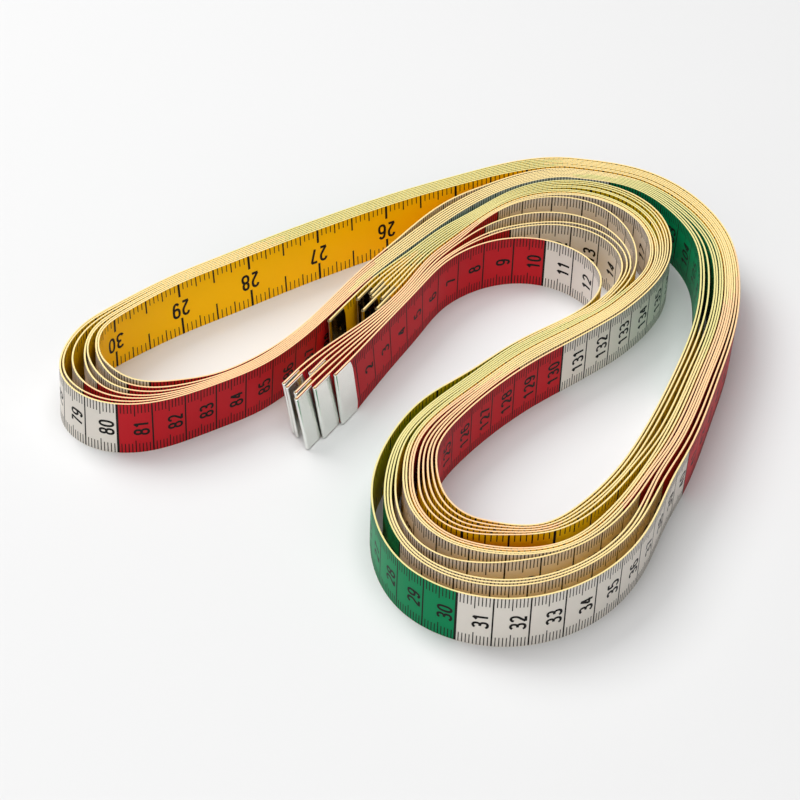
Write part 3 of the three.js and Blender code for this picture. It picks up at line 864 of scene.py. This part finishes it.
@dataclass
class Clip:
    """Sheet metal folded round a tape's end, pinched on it and left round at the fold. Millimetres."""

    tape: Tape
    plate: float = 0.22
    clearance: float = 0.08
    inset: float = 0.25
    fold_centre: float = 8.22
    fold_bulge: float = 0.09
    fold_points: int = 17
    pinch_from: float = 6.4
    corner_ease: float = 0.07
    corner_trim: float = 0.8
    corner_reach: float = 3.5
    stud_at: tuple[float, float] = (3.0, 12.0)
    stud_radius: float = 0.85
    stud_rise: float = 0.16
    fine_reach: float = 1.2
    fine_points: int = 17
    open_points: int = 4
    fold_side_points: int = 12
    level_steps: tuple[float, ...] = (0.4, 0.9, 1.5, 2.2, 3.0, 5.5)
    sharp_angle: float = 40.0

    def fine(self, middle: float) -> Array:
        """Closer steps about the middle of the stud."""
        return np.linspace(middle - self.fine_reach, middle + self.fine_reach, self.fine_points)

    def profile(self) -> tuple[Array, Array, Array, Array]:
        """The sheet's middle line from one open edge round the fold to the other, with its normals.

        Returns:
            Distance towards the fold, side step, and the two parts of the outward normal.
        """
        flat = self.tape.route.thickness / 2 + self.clearance + self.plate / 2
        fine = self.fine(self.stud_at[0])
        before = np.linspace(0, fine[0], self.open_points)
        behind = np.linspace(fine[-1], self.fold_centre, self.fold_side_points)
        run = np.unique(np.concatenate([before, fine, behind]))
        share = np.clip((run - self.pinch_from) / (self.fold_centre - self.pinch_from), 0, 1)
        gap = flat + self.fold_bulge * eased(share)
        turn = np.linspace(np.pi / 2, -np.pi / 2, self.fold_points)[1:-1]
        radius = gap[-1]
        ahead = np.concatenate([run, self.fold_centre + radius * np.cos(turn), run[::-1]])
        side = np.concatenate([gap, radius * np.sin(turn), -gap[::-1]])
        course = np.stack([np.gradient(ahead), np.gradient(side)], -1)
        course /= np.linalg.norm(course, axis=1, keepdims=True)
        return ahead, side, -course[:, 1], course[:, 0]

    def levels(self) -> Array:
        """Heights across the tape's width, closer at both ends and about the stud.

        Returns:
            The heights, from the lowest up.
        """
        rise = np.array([0, self.corner_ease, *self.level_steps, self.corner_reach])
        high = self.tape.route.width - self.inset
        return np.unique(np.concatenate([self.inset + rise, self.fine(self.stud_at[1]), high - rise]))

    def sheet(self, far: bool) -> tuple[Array, Array, Array]:
        """The folded sheet, with trimmed corners, eased edges and, on a far clip, a stud in both leaves.

        Args:
            far: whether this is the far end's clip.

        Returns:
            Distance towards the fold, height and side step, with one closed ring of points to a level.
        """
        ahead, side, normal_ahead, normal_side = self.profile()
        levels = self.levels()
        half = np.full((len(levels), 1), self.plate / 2)
        half[[0, -1]] -= self.corner_ease
        from_end = np.minimum(levels - levels[0], levels[-1] - levels)
        trim = self.corner_trim * np.clip(1 - from_end / self.corner_reach, 0, 1) ** 2
        ahead = ahead + trim[:, None] * np.clip(1 - ahead / self.fold_centre, 0, 1)
        reach = np.hypot(ahead - self.stud_at[0], levels[:, None] - self.stud_at[1])
        raised = self.stud_rise * eased(np.clip(1 - reach / self.stud_radius, 0, 1)) * far
        outer, inner = raised + half, raised - half
        ring_ahead = [ahead + normal_ahead * outer, (ahead + normal_ahead * inner)[:, ::-1]]
        ring_side = [side + normal_side * outer, (side + normal_side * inner)[:, ::-1]]
        towards = np.concatenate(ring_ahead, 1)
        return towards, np.broadcast_to(levels[:, None], towards.shape), np.concatenate(ring_side, 1)

    def build(self, name: str, far: bool, metal: bpy.types.Material) -> bpy.types.Object:
        """Sets the folded sheet on one end of the tape and closes its upper and lower rims.

        Args:
            name: the piece's name.
            far: whether this is the far end's clip, which has a punched stud.
            metal: the clip's finish.

        Returns:
            The closed piece.
        """
        towards, up, side = self.sheet(far)
        clip = self.tape.clip
        along = self.tape.length - clip + towards if far else clip - towards
        points = self.beyond(along.ravel(), up.ravel(), side.ravel())
        count, size = towards.shape
        i = np.arange(size // 2 - 1)
        lower = np.stack([i, size - 1 - i, size - 2 - i, i + 1], -1)
        upper = lower[:, ::-1] + (count - 1) * size
        faces = np.concatenate([ring_quads(count, size), lower, upper])
        if self.volume(points, faces) < 0:
            faces = faces[:, ::-1]
        return make_object(name, points, faces.tolist(), [metal], smooth=self.sharp_angle)

    def beyond(self, along: Array, up: Array, out: Array) -> Array:
        """Points beside the tape, or straight on past its ends.

        Args:
            along: lengths from the zero end, below zero or past the far end too.
            up: heights along the strip from its lower edge.
            out: steps to the left of the strip's middle.

        Returns:
            Points in metres.
        """
        inside = np.clip(along, 0, self.tape.length)
        points = self.tape.place(inside, up, out)
        end = np.where(along < 0, 0, len(self.tape.stations) - 1)
        left = self.tape.left[end]
        past = ((along - inside) * MM)[:, None]
        points[:, :2] += np.stack([left[:, 1], -left[:, 0]], -1) * past
        return points

    @staticmethod
    def volume(points: Array, faces: Array) -> float:
        """Six times the volume inside four-sided faces: the sum of triple products of their triangles.

        Args:
            points: the corners.
            faces: four vertex numbers to a face.

        Returns:
            The sum, above zero where the faces look outwards.
        """
        a, b, c, d = (points[faces[:, i]] - points.mean(0) for i in range(4))
        halves = np.einsum("ij,ij->i", a, np.cross(b, c)) + np.einsum("ij,ij->i", a, np.cross(c, d))
        return float(halves.sum())


class Nodes:
    """A small hand for placing and joining shader nodes in one tree."""

    def __init__(self, tree: bpy.types.NodeTree) -> None:
        """Keeps the tree."""
        self.tree = tree

    def add(self, kind: str, **settings: object) -> bpy.types.Node:
        """A new node with its settings.

        Args:
            kind: the node's type.
            settings: its properties by name.

        Returns:
            The node.
        """
        made = self.tree.nodes.new(kind)
        for name, value in settings.items():
            setattr(made, name, value)
        return made

    def feed(self, socket: bpy.types.NodeSocket, value: object) -> None:
        """Joins a socket to an input, or sets the input's own value.

        Args:
            socket: the input.
            value: a socket to join to it, or its own value.
        """
        if isinstance(value, bpy.types.NodeSocket):
            self.tree.links.new(value, socket)
        else:
            socket.default_value = value

    def sum(self, operation: str, *values: object) -> bpy.types.NodeSocket:
        """One step of arithmetic on sockets and numbers.

        Args:
            operation: the kind of step.
            values: what it works on.

        Returns:
            The result's socket.
        """
        made = self.add("ShaderNodeMath", operation=operation)
        for socket, value in zip(made.inputs, values):
            self.feed(socket, value)
        return made.outputs[0]

    def noise(self, vector: bpy.types.NodeSocket, scale: float, detail: float) -> bpy.types.NodeSocket:
        """Smooth noise from 0 to 1.

        Args:
            vector: where the noise is read.
            scale: waves to a metre.
            detail: how many finer layers it has.

        Returns:
            The noise's socket.
        """
        made = self.add("ShaderNodeTexNoise")
        self.feed(made.inputs["Vector"], vector)
        made.inputs["Scale"].default_value = scale
        made.inputs["Detail"].default_value = detail
        return made.outputs["Fac"]

    def mix(self, share: object, first: object, second: object) -> bpy.types.NodeSocket:
        """A mix of two colours.

        Args:
            share: how much of the second.
            first, second: the colours, as sockets or values.

        Returns:
            The mixed colour's socket.
        """
        made = self.add("ShaderNodeMix", data_type="RGBA")
        sockets = {socket.identifier: socket for socket in (*made.inputs, *made.outputs)}
        self.feed(sockets["Factor_Float"], share)
        self.feed(sockets["A_Color"], first)
        self.feed(sockets["B_Color"], second)
        return sockets["Result_Color"]

    def group(self, tree: bpy.types.NodeTree, **inputs: object) -> bpy.types.Node:
        """A shared effect with its own values.

        Args:
            tree: the effect.
            inputs: its inputs by name.

        Returns:
            The effect's node.
        """
        made = self.add("ShaderNodeGroup", node_tree=tree)
        for name, value in inputs.items():
            self.feed(made.inputs[name], value)
        return made


class SocketKind(Enum):
    """The kinds of socket that the shared effects have."""

    NUMBER = "NodeSocketFloat"
    VECTOR = "NodeSocketVector"


class EffectGroup:
    """A shader group while it is made: its tree, a hand for its nodes, and its inner inputs and outputs."""

    def __init__(self, name: str, inputs: dict[str, SocketKind], outputs: dict[str, SocketKind]) -> None:
        """Makes the group with its sockets.

        Args:
            name: the group's name.
            inputs, outputs: socket names with their kinds.
        """
        self.tree = bpy.data.node_groups.new(name, "ShaderNodeTree")
        for way, sockets in (("INPUT", inputs), ("OUTPUT", outputs)):
            for socket, kind in sockets.items():
                self.tree.interface.new_socket(name=socket, in_out=way, socket_type=kind.value)
        self.hand = Nodes(self.tree)
        self.given = self.hand.add("NodeGroupInput").outputs
        self.wanted = self.hand.add("NodeGroupOutput").inputs


@dataclass
class SharedEffects:
    """The effects that several finishes use: the weave under the coating, and the marks of handling."""

    broad_scale: float = 55.0
    broad_detail: float = 3.0
    broad_share: float = 0.65
    fine_scale: float = 900.0
    fine_detail: float = 2.0
    middle: float = 0.5

    def __post_init__(self) -> None:
        """Builds each group once."""
        self.weave = self.build_weave()
        self.marks = self.build_marks()

    def build_weave(self) -> bpy.types.NodeTree:
        """Plain weave: the product of a wave along the tape and one across it, each thread a half wave.

        Returns:
            The group.
        """
        number = SocketKind.NUMBER
        group = EffectGroup("woven_threads", {"Map": SocketKind.VECTOR, "Thread": number}, {"Height": number})
        hand = group.hand
        parts = hand.add("ShaderNodeSeparateXYZ")
        hand.feed(parts.inputs["Vector"], group.given["Map"])
        waves = []
        for axis in ("X", "Y"):
            turns = hand.sum("DIVIDE", parts.outputs[axis], group.given["Thread"])
            waves.append(hand.sum("SINE", hand.sum("MULTIPLY", turns, math.pi)))
        product = hand.sum("MULTIPLY", *waves)
        hand.feed(group.wanted["Height"], hand.sum("MULTIPLY_ADD", product, self.middle, self.middle))
        return group.tree

    def build_marks(self) -> bpy.types.NodeTree:
        """Broad and fine noise, added: a shade that alters a colour a little, and a roughness that varies.

        Returns:
            The group.
        """
        number = SocketKind.NUMBER
        group = EffectGroup(
            "handling_marks",
            {"Place": SocketKind.VECTOR, "Roughness": number, "Spread": number},
            {"Shade": number, "Roughness": number, "Grain": number})
        hand, given, wanted = group.hand, group.given, group.wanted
        broad = hand.noise(given["Place"], self.broad_scale, self.broad_detail)
        fine = hand.noise(given["Place"], self.fine_scale, self.fine_detail)
        fine_part = hand.sum("MULTIPLY", fine, 1 - self.broad_share)
        hand.feed(wanted["Shade"], hand.sum("MULTIPLY_ADD", broad, self.broad_share, fine_part))
        spread = hand.sum("MULTIPLY", hand.sum("SUBTRACT", broad, self.middle), given["Spread"])
        hand.feed(wanted["Roughness"], hand.sum("ADD", given["Roughness"], spread))
        hand.feed(wanted["Grain"], fine)
        return group.tree


class Dye(Enum):
    """The colours of the cloth, the ink and the plate, with the painted reflection of the far clips, as a
    screen shows them, from 0 to 255.
    """

    RED = (196, 32, 41)
    GREEN = (4, 138, 86)
    WHITE = (236, 229, 219)
    YELLOW = (253, 198, 0)
    RED_EDGE = (250, 208, 158)
    WHITE_EDGE = (246, 222, 158)
    GREEN_EDGE = (232, 220, 150)
    INK = (14, 12, 12)
    WORN_INK = (120, 112, 104)
    PLATE = (238, 239, 235)
    # Painted reflection: the far clips' brass tint and dark patches stand in for the yellow and red tapes
    # mirrored in their bright plate.
    PLATE_STAIN = (150, 146, 134)
    DULL_PLATE = (172, 158, 120)
    DULL_STAIN = (74, 56, 28)

    @property
    def linear(self) -> tuple[float, float, float, float]:
        """The linear, opaque colour that a shader takes."""
        shown = Color([level / SCREEN_WHITE for level in self.value])
        return (*shown.from_srgb_to_scene_linear(), 1.0)


@dataclass(frozen=True, kw_only=True)
class Finish:
    """What every finish has: a name, the shared effects, and a roughness that handling varies."""

    name: str
    effects: SharedEffects
    roughness: float
    spread: float

    def start(self) -> tuple[bpy.types.Material, Nodes, bpy.types.Node, bpy.types.Node]:
        """A new material with its roughness set.

        Returns:
            The material, a hand for its nodes, its shader and its marks of handling.
        """
        made = bpy.data.materials.new(self.name)
        made.use_nodes = True
        hand = Nodes(made.node_tree)
        shader = made.node_tree.nodes["Principled BSDF"]
        place = hand.add("ShaderNodeTexCoord").outputs["Object"]
        marks = hand.group(self.effects.marks, Place=place, Roughness=self.roughness, Spread=self.spread)
        hand.feed(shader.inputs["Roughness"], marks.outputs["Roughness"])
        return made, hand, shader, marks

    def stain(self, hand: Nodes, shader: bpy.types.Node, marks: bpy.types.Node, share: float,
              clean: object, wear_and_reflection_dye: Dye) -> None:
        """Colours the shader with a clean colour, and up to a share of a second colour where the marks are:
        handling wear and worn ink, and on a far clip painted reflection.
        """
        part = hand.sum("MULTIPLY", marks.outputs["Shade"], share)
        hand.feed(shader.inputs["Base Color"], hand.mix(part, clean, wear_and_reflection_dye.linear))

    def raise_relief(self, hand: Nodes, shader: bpy.types.Node, height: bpy.types.NodeSocket,
                     strength: float, distance: float) -> None:
        """Gives the shader a fine relief.

        Args:
            hand: the material's nodes.
            shader: its shader.
            height: the relief's height.
            strength: how much of it shows.
            distance: its depth in metres.
        """
        bump = hand.add("ShaderNodeBump")
        bump.inputs["Strength"].default_value = strength
        bump.inputs["Distance"].default_value = distance
        hand.feed(bump.inputs["Height"], height)
        hand.feed(shader.inputs["Normal"], bump.outputs["Normal"])


@dataclass(frozen=True, kw_only=True)
class ClothFinish(Finish):
    """Coated cloth: a dyed, half glossy skin over a fine plain weave."""

    dyes: tuple[Dye, ...]
    roughness: float = 0.42
    spread: float = 0.12
    specular: float = 0.1
    darkening: float = 0.06
    thread: float = 0.00042
    relief: float = 0.000012
    relief_strength: float = 0.35
    grain: float = 0.6
    repeat: float = 0.4

    def build(self) -> bpy.types.Material:
        """The finish as a material: bands of dye along the tape map, shaded by handling, over the weave.

        Returns:
            The material.
        """
        made, hand, shader, marks = self.start()
        lay = hand.add("ShaderNodeUVMap", uv_map=TAPE_MAP).outputs["UV"]
        shader.inputs["Specular IOR Level"].default_value = self.specular
        self.stain(hand, shader, marks, self.darkening, self.bands(hand, lay), Dye.INK)
        weave = hand.group(self.effects.weave, Map=lay, Thread=self.thread)
        grained = hand.sum("MULTIPLY_ADD", marks.outputs["Grain"], self.grain, weave.outputs["Height"])
        self.raise_relief(hand, shader, grained, self.relief_strength, self.relief)
        return made

    def bands(self, hand: Nodes, lay: bpy.types.NodeSocket) -> object:
        """The dye at each length: equal bands in order, over and over, or the one dye there is.

        Args:
            hand: the material's nodes.
            lay: the tape map.

        Returns:
            The dye's socket, or its one linear colour.
        """
        if len(self.dyes) == 1:
            return self.dyes[0].linear
        parts = hand.add("ShaderNodeSeparateXYZ")
        hand.feed(parts.inputs["Vector"], lay)
        share = hand.sum("FRACT", hand.sum("DIVIDE", parts.outputs["X"], self.repeat))
        ramp = hand.add("ShaderNodeValToRGB")
        ramp.color_ramp.interpolation = "CONSTANT"
        stops = ramp.color_ramp.elements
        for number, dye in enumerate(self.dyes):
            position = number / len(self.dyes)
            stop = stops[number] if number < len(stops) else stops.new(position)
            stop.position = position
            stop.color = dye.linear
        hand.feed(ramp.inputs["Fac"], share)
        return ramp.outputs["Color"]


@dataclass(frozen=True, kw_only=True)
class InkFinish(Finish):
    """Printed ink: near black and a little uneven."""

    roughness: float = 0.42
    spread: float = 0.1
    specular: float = 0.1
    fade: float = 0.08

    def build(self) -> bpy.types.Material:
        """The finish as a material.

        Returns:
            The material.
        """
        made, hand, shader, marks = self.start()
        shader.inputs["Specular IOR Level"].default_value = self.specular
        self.stain(hand, shader, marks, self.fade, Dye.INK.linear, Dye.WORN_INK)
        return made


@dataclass(frozen=True, kw_only=True)
class MetalFinish(Finish):
    """Plated sheet metal, a little soiled and dented by pressing; on a far clip its colour and dark patches
    are painted reflection of the tapes in front.
    """

    # On a far clip the plate colour and the mixed-in colour are painted reflection of the tapes in front, not
    # the metal's own colour.
    plate: Dye = Dye.PLATE
    tarnish: Dye = Dye.PLATE_STAIN
    tarnish_share: float = 0.2
    roughness: float = 0.24
    spread: float = 0.16
    dent: float = 0.00002
    dent_strength: float = 0.25

    def build(self) -> bpy.types.Material:
        """The finish as a material.

        Returns:
            The material.
        """
        made, hand, shader, marks = self.start()
        shader.inputs["Metallic"].default_value = 1.0
        # Real wear on a zero clip; on a far clip this mix paints reflection of the tapes in front.
        self.stain(hand, shader, marks, self.tarnish_share, self.plate.linear, self.tarnish)
        self.raise_relief(hand, shader, marks.outputs["Shade"], self.dent_strength, self.dent)
        return made


def make_finishes() -> dict[str, bpy.types.Material]:
    """The finishes of a tape's sides and edges, its print and its clips.

    Returns:
        The materials by what they dress.
    """
    effects = SharedEffects()
    bands = (Dye.RED, Dye.WHITE, Dye.GREEN, Dye.WHITE)
    edges = (Dye.RED_EDGE, Dye.WHITE_EDGE, Dye.GREEN_EDGE, Dye.WHITE_EDGE)
    finishes = {
        "centimetres": ClothFinish(name="banded_cloth", effects=effects, dyes=bands),
        "inches": ClothFinish(name="yellow_cloth", effects=effects, dyes=(Dye.YELLOW,)),
        "edge": ClothFinish(name="cloth_edge", effects=effects, dyes=edges,
                            roughness=0.6, darkening=0.02, relief_strength=0.1),
        "ink": InkFinish(name="printed_ink", effects=effects),
        "zero_clip": MetalFinish(name="bright_plate", effects=effects),
        # Far clips: painted reflection of the tapes in front, as a brass tint and dark patches on the plate.
        "far_clip": MetalFinish(name="dull_plate", effects=effects, plate=Dye.DULL_PLATE,
                                tarnish=Dye.DULL_STAIN, tarnish_share=0.6, roughness=0.16),
    }
    return {key: finish.build() for key, finish in finishes.items()}


@dataclass
class TapeMeasure:
    """One whole tape measure: its strip in two pieces that meet at the bend, its print and its two clips."""

    route: BundleRoute
    number: int
    finishes: dict[str, bpy.types.Material]
    bend_reach: float = 22.0

    def build(self) -> None:
        """Builds the tape's pieces, and sets the long strip, its ink and both clips on their bodies."""
        tape = Tape(self.route, self.number)
        cloth = [self.finishes[key] for key in ("centimetres", "inches", "edge")]
        ink = self.finishes["ink"]
        n = self.number
        loose = f"loose_end_{n}"
        strip, scale, clip = Strip(tape), Print(tape), Clip(tape)
        long_strip = strip.build(f"printed_tape_{n}", tape.bend, tape.length, cloth)
        long_ink = scale.build(f"tape_ink_{n}", tape.bend, tape.length, ink)
        end_strip = strip.build(f"printed_end_{n}", 0.0, tape.bend, cloth)
        end_ink = scale.build(f"end_ink_{n}", 0.0, tape.bend, ink)
        zero_clip = clip.build(f"zero_end_clip_{n}", False, self.finishes["zero_clip"])
        far_clip = clip.build(f"far_end_clip_{n}", True, self.finishes["far_clip"])
        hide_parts(f"ribbon_{n}")
        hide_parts(f"free_end_{n}")
        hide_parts(f"zero_clip_{n}")
        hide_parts(f"far_clip_{n}")
        for piece in (long_strip, long_ink, far_clip):
            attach(piece, STILL_BODY)
        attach(zero_clip, loose)
        hinge = np.array([tape.bend, tape.bend - self.bend_reach])
        half = np.full(2, self.route.width / 2)
        start, end = tape.place(hinge, half, np.zeros(2)).tolist()
        for piece in (end_strip, end_ink):
            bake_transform(piece)
        for piece in (long_strip, long_ink, end_strip, end_ink, zero_clip, far_clip):
            log.info("%s: %d faces", piece.name, len(piece.data.polygons))


@dataclass(frozen=True)
class Lamp:
    """A square soft lamp that faces the bundle: its place and size in metres and its power in watts."""

    name: str
    place: tuple[float, float, float]
    size: float
    power: float

    def hang(self) -> None:
        """Sets the lamp in the scene."""
        lamp = bpy.data.lights.new(self.name, "AREA")
        lamp.shape = "SQUARE"
        lamp.size = self.size
        lamp.energy = self.power
        made = bpy.data.objects.new(self.name, lamp)
        made.location = self.place
        made.rotation_mode = "QUATERNION"
        made.rotation_quaternion = made.location.to_track_quat("Z", "Y")
        bpy.context.scene.collection.objects.link(made)


@dataclass
class Studio:
    """The floor, the light and the camera, whose place is set from the photograph's view of the bundle."""

    image: int = 800
    focal_pixels: float = 2466.0
    sensor: float = 36.0
    near_clip: float = 0.01
    distance: float = 0.738
    elevation: float = 40.21
    roll: float = 1.95
    floor_half: float = 4.0
    floor_paint: float = 0.71
    floor_roughness: float = 0.8
    floor_specular: float = 0.1
    sky: float = 0.03
    seen_sky: float = 1.0
    lamps: tuple[Lamp, ...] = (
        Lamp("back_left", (-0.9, 0.8, 1.45), 1.1, 27.0),
        Lamp("overhead", (0.0, 0.1, 1.6), 1.2, 16.0),
        Lamp("front_left", (-0.6, -0.85, 0.62), 0.8, 3.5),
        Lamp("front_right", (0.55, -0.9, 0.62), 0.8, 2.8),
    )

    def aim(self, route: BundleRoute) -> None:
        """Stands the camera off the route's origin, above the front, with the photograph's slight roll.

        Args:
            route: the ribbons' route, whose middle is the origin of the frame.
        """
        rise, roll = math.radians(self.elevation), math.radians(self.roll)
        back = np.array([0, -math.cos(rise), math.sin(rise)])
        up = np.array([0, math.sin(rise), math.cos(rise)])
        right = np.array([1, 0, 0])
        turned_right = math.cos(roll) * right + math.sin(roll) * up
        turned_up = -math.sin(roll) * right + math.cos(roll) * up
        origin = -np.array([*route.middle, 0]) * MM
        matrix = np.eye(4)
        matrix[:3, :3] = np.stack([turned_right, turned_up, back], -1)
        matrix[:3, 3] = origin + back * self.distance
        lens = bpy.data.cameras.new("camera")
        lens.sensor_width = self.sensor
        lens.lens = self.focal_pixels / self.image * self.sensor
        lens.clip_start = self.near_clip
        camera = bpy.data.objects.new("camera", lens)
        camera.matrix_world = Matrix(matrix.tolist())
        bpy.context.scene.collection.objects.link(camera)
        bpy.context.scene.camera = camera

    def seen_rays(self, hand: Nodes) -> bpy.types.NodeSocket:
        """1 for rays from the camera, a mirror or glass, and 0 for the rest.

        Args:
            hand: the world's nodes.

        Returns:
            The switch's socket.
        """
        path = hand.add("ShaderNodeLightPath").outputs
        shine = hand.sum("MAXIMUM", path["Is Glossy Ray"], path["Is Transmission Ray"])
        return hand.sum("MAXIMUM", path["Is Camera Ray"], shine)

    def lay_floor(self) -> None:
        """A wide pale floor: plain paint that keeps the shadows."""
        points = self.floor_half * np.array([[-1, -1, 0], [1, -1, 0], [1, 1, 0], [-1, 1, 0]])
        made = bpy.data.materials.new("floor_paint")
        made.use_nodes = True
        shader = made.node_tree.nodes["Principled BSDF"]
        shader.inputs["Base Color"].default_value = (*[self.floor_paint] * 3, 1)
        shader.inputs["Roughness"].default_value = self.floor_roughness
        shader.inputs["Specular IOR Level"].default_value = self.floor_specular
        make_object("floor", points, [[0, 1, 2, 3]], [made])

    def light(self) -> None:
        """Broad soft lamps behind on the left and overhead, two weaker ones in front, and a dim sky."""
        world = bpy.data.worlds.new("sky")
        bpy.context.scene.world = world
        world.use_nodes = True
        hand = Nodes(world.node_tree)
        sky = world.node_tree.nodes["Background"]
        sky.inputs["Color"].default_value = (1, 1, 1, 1)
        share = hand.sum("MULTIPLY_ADD", self.seen_rays(hand), self.seen_sky - self.sky, self.sky)
        hand.feed(sky.inputs["Strength"], share)
        for lamp in self.lamps:
            lamp.hang()


def main() -> None:
    """Builds the studio and the tapes in order."""
    logging.basicConfig(level=logging.INFO)
    bpy.context.scene.view_settings.view_transform = "Standard"
    route = BundleRoute()
    studio = Studio()
    studio.aim(route)
    studio.lay_floor()
    studio.light()
    finishes = make_finishes()
    for number in range(1, route.tapes + 1):
        TapeMeasure(route, number, finishes).build()


if __name__ == "__main__":
    main()
